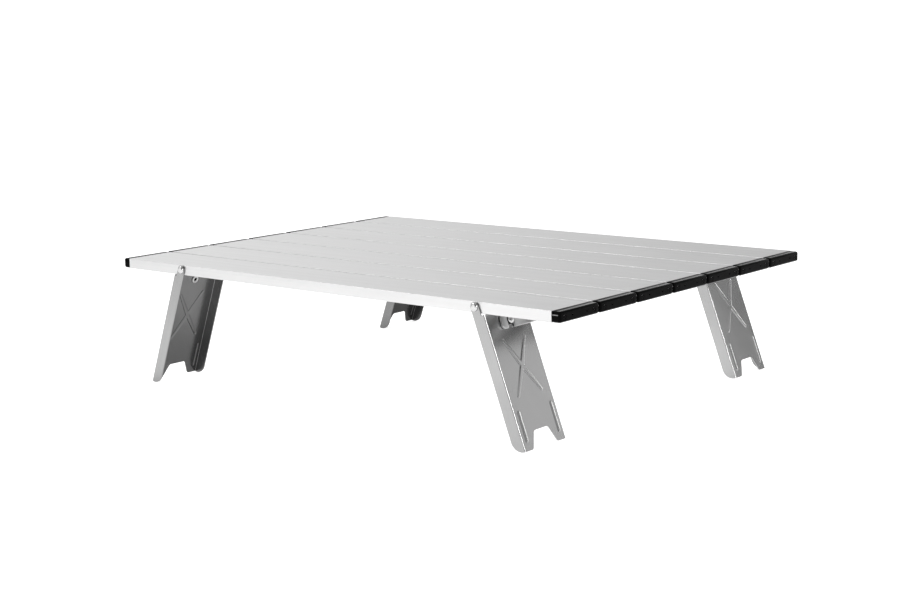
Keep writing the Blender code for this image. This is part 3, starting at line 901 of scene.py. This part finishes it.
# tag, sign of X, sign of Y, whether it carries a tie bar or the stud that its fork holds
for tag, side, end, holds_bar in (("fr", 1, -1, False), ("br", 1, 1, True),
                                  ("fl", -1, -1, True), ("bl", -1, 1, False)):
    body = "leg_" + tag
    hub = HINGES[body]
    turn = Euler((0, -TILT, 0 if side > 0 else math.pi)).to_matrix().to_4x4()
    holder = Matrix.Translation(hub * MM) @ turn
    sheet = leg.copy()
    sheet.transform(holder)
    add("leg_sheet_" + tag, sheet, (ZINC, ZINC_IN_PAINTED_SHADE, ZINC_SIDE_PAINTED_SHADE), body, body, bevel=0.12,
        weighted=True)
    for name, mesh, s in (("out", out_rivet, end), ("in", in_rivet, -end)):
        add("hinge_%s_%s" % (name, tag), mesh.copy(), (NICKEL,), "top",
            "rivet_%s_%s" % (name, tag),
            moved(hub + Vector((0, s * SLAT_W / 2, 0)), -s * math.pi / 2, "X"))
    upright = holder @ moved((0, 0, STUD_Z))
    lying = upright @ LIE
    tubular = (NICKEL, BORE_PAINTED_SHADE, ROLLED_PAINTED_SHADE)
    if holds_bar:
        add("tie_bar_" + tag[1], bar.copy(), (PLATE,), body, "bar_" + tag[1], upright)
        add("bar_pivot_" + tag, pivot.copy(), tubular, body, "pivot_" + tag, lying)
        add("bar_washer_" + tag, washer.copy(), (NICKEL,), body, "washer_" + tag, lying)
    else:
        add("fork_stud_" + tag, fork_stud.copy(), tubular, body, "stud_" + tag, lying)
        add("fork_bush_" + tag, bush.copy(), (BUSH,), body, "bush_" + tag, lying)


# --- studio -------------------------------------------------------------------------------

FLOOR_HALF, FLOOR_Z = 40.0, -0.0002
FLOOR_TONE, FLOOR_LIGHT = 0.76, 0.66             # its colour and its own light
FLOOR_SEEN = 1.25                                # brighter to the camera than to the metal
# painted shadows (factor below 1) and painted pools of light (factor above 1) on the floor, seen
# only in reflections: middle, full and last reach (m), factor against the rest
PAINTED_FLOOR_SPOTS = (((-0.42, -0.05, 0.0), 0.05, 0.30, 0.5), ((-0.17, 0.30, 0.0), 0.12, 0.35, 0.35),
               ((-0.21, -0.17, 0.0), 0.03, 0.10, 0.72), ((-1.2, -0.7, 0.0), 0.3, 0.9, 0.75),
               ((0.66, -0.06, 0.0), 0.05, 0.32, 0.4), ((0.13, 0.02, 0.0), 0.06, 0.25, 1.4),
               ((0.0, -0.46, 0.0), 0.03, 0.18, 1.3))
SKY_LIGHT = 0.16
WALL_WAY = (-0.643, 0.766, 0)                    # a pale wall stands behind the table
WALL_EDGE = (0.25, 0.75)                         # from no wall to full, facing it by so much
WALL_RISE = (0.015, 0.14, 1.3, 0.21)             # heights and light, from its foot upwards
# soft glows in the sky: azimuth, elevation, reach (degrees), strength
GLOWS = ((-72, 12, 50, 0.60), (-4, 4, 20, 4.4), (78, 34, 24, 0.5), (-152, 0, 40, 1.3),
         (-20, 75, 60, 0.5), (-126, 46, 12, 3.2))
# soft lights: azimuth, elevation (degrees), distance, size (m), power (W)
LIGHTS = (("key_light", -131, 47, 2.5, 0.6, 10), ("side_light", 112, 19, 3.0, 1.0, 33))
LIT = (0.0, 0.0, 0.1)                            # what they point at
CARD_AT, CARD_AIM, CARD_SIZE, CARD_POWER = (0.93, 0.80, 0.32), (0.21, -0.17, 0.07), 0.5, 0.66
CAMERA_AT = (1.0869, -1.2992, 0.3769)
CAMERA_TURN = (-40.161, 9.973, -1.202)           # heading, downward pitch and roll in degrees
LENS, SENSOR = 66.97, 36


def way(azimuth, elevation):
    """A direction from the table; azimuth 0 is +Y and 90 is +X, in degrees."""
    a, e = math.radians(azimuth), math.radians(elevation)
    return Vector((math.cos(e) * math.sin(a), math.cos(e) * math.cos(a), math.sin(e)))


corners = [(x * FLOOR_HALF, y * FLOOR_HALF, FLOOR_Z)
           for x, y in ((-1, -1), (1, -1), (1, 1), (-1, 1))]
floor_mesh = bpy.data.meshes.new("floor")
floor_mesh.from_pydata(corners, [], [(0, 1, 2, 3)])
floor = new_object("floor", floor_mesh)
floor_mat, ground, floor_shader, _ = nodes_for("pale_floor")
floor_shader.inputs["Roughness"].default_value = 0.9
floor_shader.inputs["Specular IOR Level"].default_value = 0.0
floor_shader.inputs["Emission Color"].default_value = (1, 1, 1, 1)
here = ground.nodes.new("ShaderNodeNewGeometry")
level = 1.0
for spot, near, far, painted_factor in PAINTED_FLOOR_SPOTS:
    away = ground.nodes.new("ShaderNodeVectorMath")
    away.operation = "DISTANCE"
    away.inputs[1].default_value = spot
    ground.links.new(here.outputs["Position"], away.inputs[0])
    level = combine(ground, level, slope(ground, away.outputs["Value"], near, far, painted_factor, 1.0))
# the camera sees the floor at least this bright, which hides the painted shadows from it
seen = ground.nodes.new("ShaderNodeLightPath").outputs["Is Camera Ray"]
level = combine(ground, level, combine(ground, seen, FLOOR_SEEN), "MAXIMUM")
ground.links.new(combine(ground, level, FLOOR_LIGHT), floor_shader.inputs["Emission Strength"])
tone = mixed(ground, level, grey(0), grey(FLOOR_TONE))
ground.links.new(tone, floor_shader.inputs["Base Color"])
# the floor's underside is clear
one_way = ground.nodes.new("ShaderNodeMixShader")
clear = ground.nodes.new("ShaderNodeBsdfTransparent")
ground.links.new(here.outputs["Backfacing"], one_way.inputs["Fac"])
ground.links.new(floor_shader.outputs["BSDF"], one_way.inputs[1])
ground.links.new(clear.outputs["BSDF"], one_way.inputs[2])
ground.links.new(one_way.outputs["Shader"], ground.nodes["Material Output"].inputs["Surface"])
floor_mesh.materials.append(floor_mat)

world = bpy.data.worlds.new("studio")
bpy.context.scene.world = world
world.use_nodes = True
sky = world.node_tree
direction = sky.nodes.new("ShaderNodeTexCoord").outputs["Generated"]


def towards(vector):
    """How squarely a direction in the sky lies along a vector."""
    dot = sky.nodes.new("ShaderNodeVectorMath")
    dot.operation = "DOT_PRODUCT"
    dot.inputs[1].default_value = vector
    sky.links.new(direction, dot.inputs[0])
    return dot.outputs["Value"]


split = sky.nodes.new("ShaderNodeSeparateXYZ")
sky.links.new(direction, split.inputs["Vector"])
behind = slope(sky, towards(WALL_WAY), *WALL_EDGE, 0.0, 1.0)
wall = combine(sky, behind, slope(sky, split.outputs["Z"], *WALL_RISE))
total = combine(sky, wall, SKY_LIGHT, "ADD")
for azimuth, elevation, reach, strength in GLOWS:
    facing = towards(way(azimuth, elevation))
    glow = slope(sky, facing, math.cos(math.radians(reach)), 1.0, 0.0, strength)
    total = combine(sky, total, glow, "ADD")
sky.links.new(total, sky.nodes["Background"].inputs["Strength"])
sky.nodes["Background"].inputs["Color"].default_value = (1, 1, 1, 1)


def softbox(name, location, target, size, watts):
    """A square area light aimed at a point."""
    light = bpy.data.lights.new(name, "AREA")
    light.size = size
    light.energy = watts
    ob = new_object(name, light)
    ob.location = location
    aim = Vector(target) - Vector(location)
    ob.rotation_euler = aim.to_track_quat("-Z", "Y").to_euler()


for name, azimuth, elevation, distance, size, watts in LIGHTS:
    softbox(name, way(azimuth, elevation) * distance, LIT, size, watts)
softbox("web_card", CARD_AT, CARD_AIM, CARD_SIZE, CARD_POWER)

camera_data = bpy.data.cameras.new("camera")
camera_data.sensor_width = SENSOR
camera_data.lens = LENS
camera_data.clip_start = 0.05
camera_data.clip_end = 200
camera = new_object("camera", camera_data)
camera.location = CAMERA_AT
yaw, pitch, roll = (math.radians(angle) for angle in CAMERA_TURN)
forward = Vector((math.cos(pitch) * math.sin(yaw), math.cos(pitch) * math.cos(yaw),
                  -math.sin(pitch)))
right = Vector((math.cos(yaw), -math.sin(yaw), 0))
upward = right.cross(forward)
turned_right = math.cos(roll) * right + math.sin(roll) * upward
turned_up = -math.sin(roll) * right + math.cos(roll) * upward
camera.rotation_euler = Matrix((turned_right, turned_up, -forward)).transposed().to_euler()
bpy.context.scene.camera = camera
bpy.context.scene.view_settings.view_transform = "Standard"
